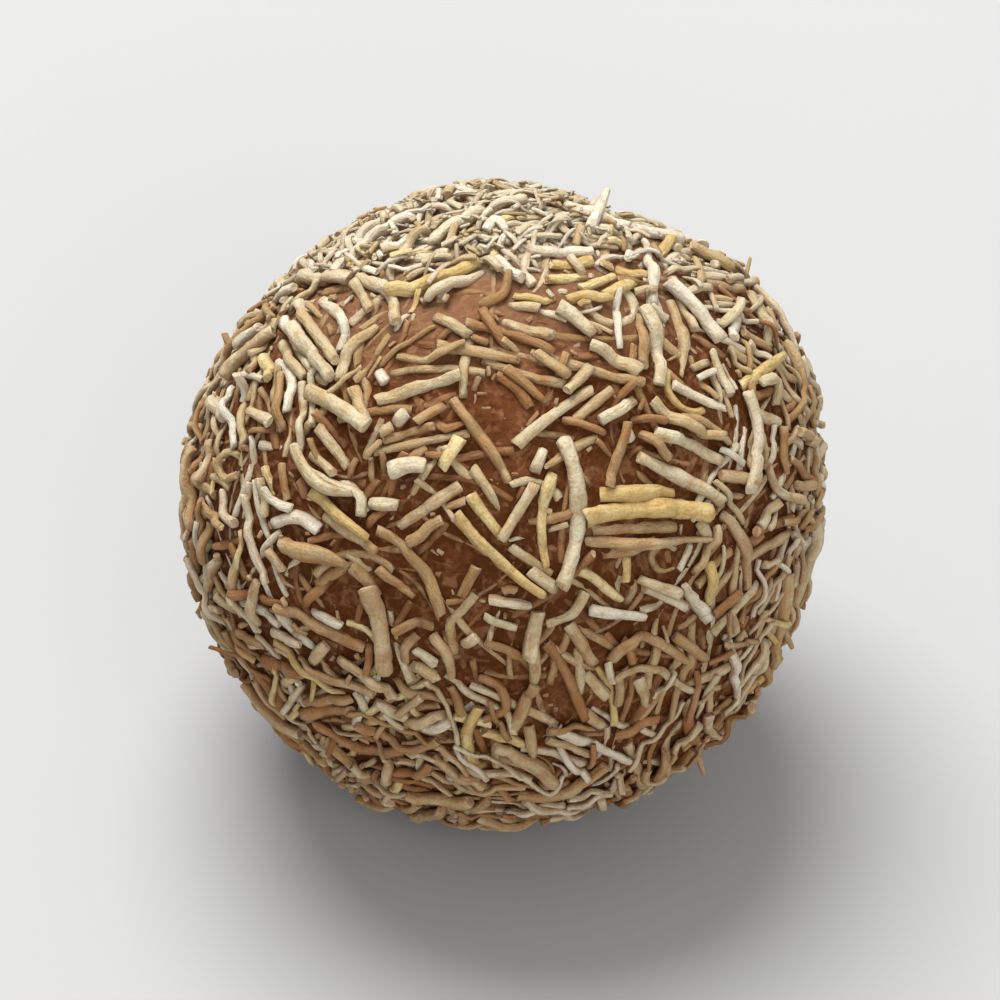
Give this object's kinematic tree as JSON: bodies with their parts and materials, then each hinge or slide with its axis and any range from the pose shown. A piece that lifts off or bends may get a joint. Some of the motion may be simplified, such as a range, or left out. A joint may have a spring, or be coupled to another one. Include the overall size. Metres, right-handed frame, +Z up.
{
  "type": "kunafa ball",
  "caption": "Round chocolate sweet, hand-rolled and slightly lumpy, coated all over in short toasted pastry strands, on a small flat spot.",
  "frame": {"origin": "middle of the small flat spot the ball rests on", "axes": "+Z up; -Y is the front, the side the picture shows best; +X is to its right"},
  "size_m": [0.0416, 0.0412, 0.0405],
  "materials": {
    "pastry_strands": "matt toasted pastry, cream to golden brown",
    "chocolate": "dull milk chocolate paste"
  },
  "bodies": {
    "root": {"kunafa_ball": "pastry_strands"}
  },
  "joints": []
}
